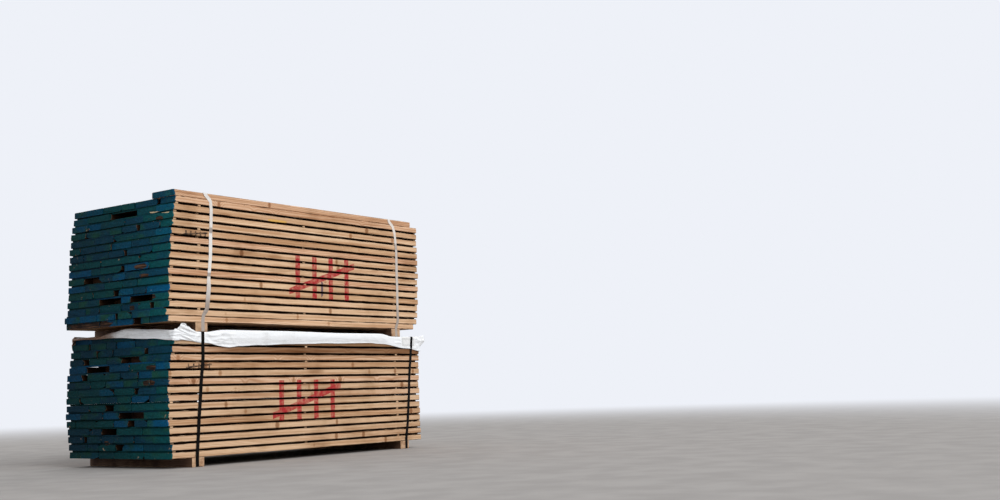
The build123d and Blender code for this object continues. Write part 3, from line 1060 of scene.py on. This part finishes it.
def hem_height(spot, outward):
    """How high the hem hangs, mixed between the side and the end at a corner."""
    side = between(hem_in_front if spot.y < 0 else hem_behind, spot.x)
    end = between(hem_near_end if spot.x < 0 else hem_far_end, spot.y)
    share = outward.x ** 2
    wave = 0.004 * noise.noise(Vector((spot.x * 5, spot.y * 5, 3.0)))
    return side * (1 - share) + end * share + wave


stations = rim_stations()
print("the rim has", len(stations), "stations")

# %% A point on top, and a point of the skirt
ledge_low, ledge_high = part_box("lower_pack_layer_15")
laid_height = sheet_top + 0.0001


def puff_at(spot, outward, free):
    """How high the sheet puffs up at a place of the rim."""
    on_side = outward.y ** 2
    end_puff = between(puff_near_end, spot.y) if spot.x < 0 else 0.35 * puff_height
    waver = 0.9 + 0.3 * noise.noise(Vector((spot.x * 1.3, spot.y * 1.3, 9.0)))
    return puff_height * waver * free * on_side + end_puff * (1 - on_side)


def top_point(spot, away, puff, free, crumpled):
    """A point of the sheet on top, at a distance inwards from the rim."""
    flat = Vector((min(max(spot.x, low.x + away), high.x - away),
                   math.copysign(max(0.0, min(abs(spot.y), half_sheet - away)), spot.y)))
    lift = puff * max(0.0, 1 - away / 0.14) ** 0.7
    lift += (0.003 * free * crumpled * crumple(flat.x, flat.y, 0.0, 0.09, 1)
             * min(1.0, away / 0.03))
    for centre, half in strap_places:
        lift *= 1 - math.exp(-(max(0.0, abs(flat.x - centre) - half) / 0.035) ** 2)
    return flat.x, flat.y, laid_height + lift


def skirt_point(spot, outward, drop, share, height, free, crumpled):
    """A point of the skirt, below a place of the rim; share is 0 there and 1 at the hem."""
    on_side = outward.y ** 2
    round_over = min(1.0, drop / 0.012)
    bulge = 0.008 * free * math.sin(math.pi * min(1.0, share * 1.15)) * round_over
    folds = 0.006 * crumple(spot.x * 0.30, spot.y * 0.30, height * 1.6, 0.045, 2)
    folds += 0.007 * crumple(spot.x * 0.8 + height * 0.9, spot.y, height, 0.11, 3)
    folds *= crumpled
    for centre, _ in strap_places:  # pleats fan out below each strap
        away = math.hypot(spot.x - centre, drop * 0.8)
        fan = math.cos(math.atan2(drop + 0.01, spot.x - centre) * 13) * 0.5 + 0.5
        folds += 0.007 * fan * on_side * math.exp(-away / 0.10) * min(1.0, away / 0.03)
    tight = max(math.exp(-(max(0.0, abs(spot.x - centre) - 0.014) / 0.018) ** 2)
                for centre, _ in strap_places) * on_side
    past_plate = max(abs(spot.x - plate_place[0]) - plate_place[1], drop - leg) / 0.02
    tight = max(tight, (1 - clipped(past_plate)) * on_side)
    out = (0.0005 + bulge + folds * round_over) * (1 - tight)
    if spot.x > 0:  # the front corner of the far end stands off
        flare = 0.055 * max(0.0, outward.x) * math.exp(-((spot.y + half_sheet) / 0.13) ** 2)
        out += flare * (1 - clipped((drop - 0.045) / 0.05))
    place = spot + outward * (out - 0.003 * (1 - round_over))
    if spot.x < 0:  # the hem of the near end lies over the longer layer below
        over_ledge = -outward.x * clipped((ledge_high.z + 0.012 - height) / 0.010)
        place.x = min(place.x, place.x + (ledge_low.x - 0.004 - place.x) * over_ledge)
    return place.x, place.y, height


# %% The lid of rings
inner_rings = [0.64, 0.40, 0.22, 0.12, 0.08, 0.055, 0.035, 0.022, 0.012, 0.005]
skirt_rings = 24
points, cloth_places = [], []
run = 0.0
for number, (spot, outward) in enumerate(stations):
    run += (spot - stations[number - 1][0]).length if number else 0.0
    on_side = outward.y ** 2
    free = 1 - held_down(spot.x) * on_side
    crumpled = between(rumpled, spot.x) * on_side + 1 - on_side
    puff = puff_at(spot, outward, free)
    hem, top = hem_height(spot, outward), laid_height + puff
    for away in inner_rings:
        points.append(top_point(spot, away, puff, free, crumpled))
        cloth_places.append((run, -away, 0.0))
    for ring in range(skirt_rings):
        share = ring / (skirt_rings - 1)
        drop = (top - hem) * share
        points.append(skirt_point(spot, outward, drop, share, top - drop, free, crumpled))
        cloth_places.append((run, drop, 0.0))

rings = len(inner_rings) + skirt_rings
faces = []
for number in range(len(stations)):
    here, beside = number * rings, (number + 1) % len(stations) * rings
    for ring in range(rings - 1):
        faces.append((here + ring, here + ring + 1, beside + ring + 1, beside + ring))
print("the lid has", len(points), "points")

# %% [markdown]
# At the near front corner the spare sheet was folded over and sticks up like an ear, beside
# the dark strap. It is a folded sheet of its own shape: a row of upright lines, each from
# the skirt up to a peaked outline, with soft pleats that run down towards the strap.

# %% The folded ear
def grid_faces(columns, rows, first=0):
    """The faces of a grid of points that are numbered column by column."""
    step = rows + 1
    corners = [first + column * step + row for column in range(columns) for row in range(rows)]
    return [(corner, corner + step, corner + step + 1, corner + 1) for corner in corners]


ear_left, ear_right = -1.434, -1.225
ear_outline = [(ear_left, 1.058), (-1.410, 1.088), (-1.386, 1.120), (-1.366, 1.121),
               (-1.320, 1.097), (-1.268, 1.073), (ear_right, 1.058)]
ear_columns, ear_rows = 36, 26
first_ear_point = len(points)
for column in range(ear_columns + 1):
    share_along = column / ear_columns
    fullness = math.sin(math.pi * share_along)
    x = ear_left + (ear_right - ear_left) * share_along
    peak = between(ear_outline, x)
    foot = between(hem_in_front, x) + 0.004
    for row in range(ear_rows + 1):
        share_up = row / ear_rows
        z = foot + (peak - foot) * share_up
        pleat = math.sin((z - 1.0) * 190 + x * 62) * 0.005 * fullness ** 0.5
        lean = 0.016 * max(0.0, z - 1.045) / 0.08
        away = 0.007 * fullness + 0.002
        belly = 0.004 * share_along * (1 - share_along)
        points.append((x, -half_sheet - away - pleat - lean - belly, z))
        cloth_places.append((20.0 + x, z, 0.0))
faces += grid_faces(ear_columns, ear_rows, first_ear_point)
print("the ear has", len(points) - first_ear_point, "points")

# %% Closing the sheet and giving it thickness
def thicken(piece, thickness, offset):
    """Gives a surface its thickness: half to each side at offset 0, and behind it at -1."""
    solid = piece.modifiers.new("thickness", "SOLIDIFY")
    solid.thickness, solid.offset = thickness, offset


sheet_mesh = mesh_with_values("sheet_over_lower_pack", points, [], faces, {"cloth": cloth_places})
work = bmesh.new()
work.from_mesh(sheet_mesh)
bmesh.ops.remove_doubles(work, verts=work.verts, dist=1e-4)
bmesh.ops.dissolve_degenerate(work, edges=work.edges, dist=1e-5)
bmesh.ops.recalc_face_normals(work, faces=work.faces)
work.to_mesh(sheet_mesh)
work.free()
sheet_mesh.shade_smooth()
sheet = add_object("sheet_over_lower_pack", sheet_mesh)
thicken(sheet, 0.0006, 0.0)
sheet_area = sum(face.area for face in sheet_mesh.polygons)
print("the sheet measures", round(sheet_area, 2), "square metres")

# %% [markdown]
# The film is woven of flat tapes, so its bumps follow the length run along the rim and the
# drop below it, which every point of the sheet carries. Soil lies on it in patches and in
# streaks along the folds, and the back part of the near end is tinted brown.

# %% The finish of the sheet
sheet_finish, tree, place = new_finish("sheet_finish")
u, v, _ = attribute(tree, "cloth", "Vector").parts()
tape_turns = 2 * math.pi / 0.0030  # a tape is half of 3 mm wide
tapes = (u * tape_turns).sine() * (v * tape_turns).sine()
soil = tree.noise(place, 5.0, 6.0, 0.62)
smear = tree.noise(tree.vector(u * 1.2, v * 30.0, 0.0), 1.0, 3.0)
colour = tree.tinted(soil.ramp(0.5, 0.75, 0.0, 0.35), srgb(249, 251, 253), srgb(196, 194, 188))
colour = tree.tinted(smear.ramp(0.5, 0.8, 0.0, 0.25), colour, srgb(214, 216, 216))
x, y, _ = place.parts()
browned = x.ramp(-1.43, -1.38, 1.0, 0.0) * (y + soil * 0.3).ramp(0.10, 0.42)
colour = tree.tinted(browned, colour, srgb(132, 98, 76))
finish_surface(tree, colour, soil.ramp(0.3, 0.7, 0.42, 0.58), tapes, 0.0004)
sheet_mesh.materials.append(sheet_finish)
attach(sheet, "root")
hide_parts("lower_pack_cover")

# %% [markdown]
# ## Bearers
# The bearers are squared timbers of the same wood, laid across the pack. Their shape in the
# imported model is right, with its worn arrises and the groove for the strap, so they keep it
# and only get their finish. Their grain runs across the pack, so the material swaps the axes.

# %% Bearer finish
def bearer_timber(name):
    """Squared timber whose grain runs across the pack."""
    material, tree, place = new_finish(name)
    x, y, z = place.parts()
    own = [tree.node("ShaderNodeValue") for _ in range(3)]
    for wire, value in zip(own, (0.3, 0.05, 0.05)):
        wire.socket.default_value = value
    colour, bump = softwood(tree, y, x, z, own)
    dirt = tree.noise(place, 7.0, 6.0, 0.65)
    colour = tree.tinted(dirt.ramp(0.4, 0.7, 0.3, 1.0), colour, srgb(160, 142, 126))
    face_x = tree.node("ShaderNodeNewGeometry", {}, {}, "Normal").parts()[0]
    # Painted shade: the sides that face along the pack are darkened
    colour = tree.tinted(abs(face_x).ramp(0.6, 0.9), colour, srgb(122, 108, 98))
    finish_surface(tree, colour, dirt.ramp(0.3, 0.7, 0.75, 0.9), bump + dirt, 0.0015)
    return material


bearer_finish = bearer_timber("bearer_finish")
for name in nodes:
    if "bearer" in name:
        nodes[name].data.materials.clear()
        nodes[name].data.materials.append(bearer_finish)
print("four bearers wear", bearer_finish.name)

# %% [markdown]
# ## Corner pieces
# Where the right dark strap bends over the sheet, a bent plate of white plastic spares the
# edge. Its bend is round, and a pressed frame stiffens each leg. It is built as a sheet of
# small faces that follows the bend, and then it gets its thickness.

# %% Corner pieces
def corner_plate(name, node_name, bend=0.009):
    """A plate bent over an edge, made to the box of its node."""
    low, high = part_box(node_name)
    facing = -1.0 if high.y < 0 else 1.0
    outer_y, inner_y = (low.y, high.y) if facing < 0 else (high.y, low.y)
    leg_up, leg_in = high.z - low.z, abs(outer_y - inner_y)
    arc = bend * math.pi / 2
    straight_up, straight_in = leg_up - bend, leg_in - bend
    total = straight_up + arc + straight_in
    columns, rows = 40, 60
    frame_inset, frame_width, frame_start, press_depth = 0.014, 0.0035, 0.012, 0.0012
    points, grooves = [], []
    for column in range(columns + 1):
        share = column / columns
        x = low.x + (high.x - low.x) * share
        for row in range(rows + 1):
            run = total * row / rows
            if run < straight_up:
                y_out, z, normal = 0.0, low.z + run, (1.0, 0.0)
                spot = run / straight_up
            elif run < straight_up + arc:
                angle = (run - straight_up) / bend
                y_out = -bend + bend * math.cos(angle)
                z = high.z - bend + bend * math.sin(angle)
                normal, spot = (math.cos(angle), math.sin(angle)), 0.0
            else:
                y_out, z, normal = -bend - (run - straight_up - arc), high.z, (0.0, 1.0)
                spot = 1 - (run - straight_up - arc) / straight_in
            edge = min(share, 1 - share) * (high.x - low.x)
            across_leg = min(spot, 1 - spot) * leg_up if spot else 0.0
            frame_away = abs(edge - frame_inset) if across_leg > frame_start else 1.0
            side_away = abs(across_leg - frame_inset) if edge > frame_start else 1.0
            frame_away = min(frame_away, side_away)
            groove = math.exp(-(frame_away / frame_width) ** 2)
            grooves.append(groove)
            press = press_depth * groove
            out = y_out - press_depth * normal[0] + press * normal[0]
            points.append((x, outer_y + facing * out,
                           z - 0.0008 * normal[1] + press * 0.5 * normal[1]))
    mesh = mesh_with_values(name, points, [], grid_faces(columns, rows), {"groove": grooves})
    if facing > 0:
        mesh.flip_normals()
    mesh.shade_smooth()
    plate = add_object(name, mesh)
    thicken(plate, 0.0018, -1.0)
    return plate


plate_finish, tree, place = new_finish("plate_finish")
scuffs = tree.noise(place, 40.0, 5.0, 0.6)
colour = tree.tinted(scuffs.ramp(0.5, 0.7, 0.0, 0.5), srgb(240, 240, 238), srgb(200, 196, 188))
# Painted shade: the pressed frame is greyed along its grooves
colour = tree.tinted(attribute(tree, "groove") * 0.7, colour, srgb(166, 168, 174))
finish_surface(tree, colour, scuffs.ramp(0.3, 0.7, 0.35, 0.5), scuffs, 0.0003)
for place_name in ("front", "back"):
    plate = corner_plate("bent_plate_" + place_name, "corner_piece_" + place_name)
    plate.data.materials.append(plate_finish)
    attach(plate, "root")
    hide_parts("corner_piece_" + place_name)

print("two bent plates wear", plate_finish.name)

# %% [markdown]
# ## Seals
# The ends of each strap are joined on the back by a short steel sleeve that was pressed round
# both and crimped twice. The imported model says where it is; the tree makes it, as it makes
# the laths, from one divided block, and pinches its sides at the two crimps.

# %% Seals
seal_tree, start, sleeve, inside, half, middle = blocks_on_points(
    "crimped_seal", {"Metal": "NodeSocketMaterial"}, (9, 3, 33))
(across, out, up), (half_x, half_y, half_z), (mid_x, mid_y, mid_z) = inside, half, middle
crimp = 1.0 - (abs(abs(up) - 0.42) / 0.12).least(1.0)
x = across * (half_x - crimp * crimp * 0.0028)
y = out * (half_y - abs(across) ** 6.0 * 0.0004) + crimp * (abs(across) > 0.7) * 0.0008
sleeve = move_to(seal_tree, sleeve, x + mid_x, y + mid_y, up * half_z + mid_z)
end_tree(seal_tree, sleeve, start.output("Metal"))

seal_finish, tree, place = new_finish("seal_finish")
rust = tree.noise(place, 70.0, 5.0, 0.65).ramp(0.52, 0.66)
rusty_steel = tree.mix(rust, srgb(168, 170, 172), srgb(120, 76, 48))
finish_surface(tree, rusty_steel, rust * 0.4 + 0.35, rust, 0.0003, Metallic=0.85)
for name in [name for name in nodes if "_seal_" in name]:
    low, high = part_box(name)
    mesh = points_of_blocks(name + "_point", [{"low": low, "high": high}])
    sleeve_name = name.replace("_seal_", "_sleeve_")
    seal = made_by_nodes(sleeve_name, mesh, seal_tree, {"Metal": seal_finish})
    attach(seal, "root")
    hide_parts(name)
    print(seal.name, "has", triangles(seal), "triangles")
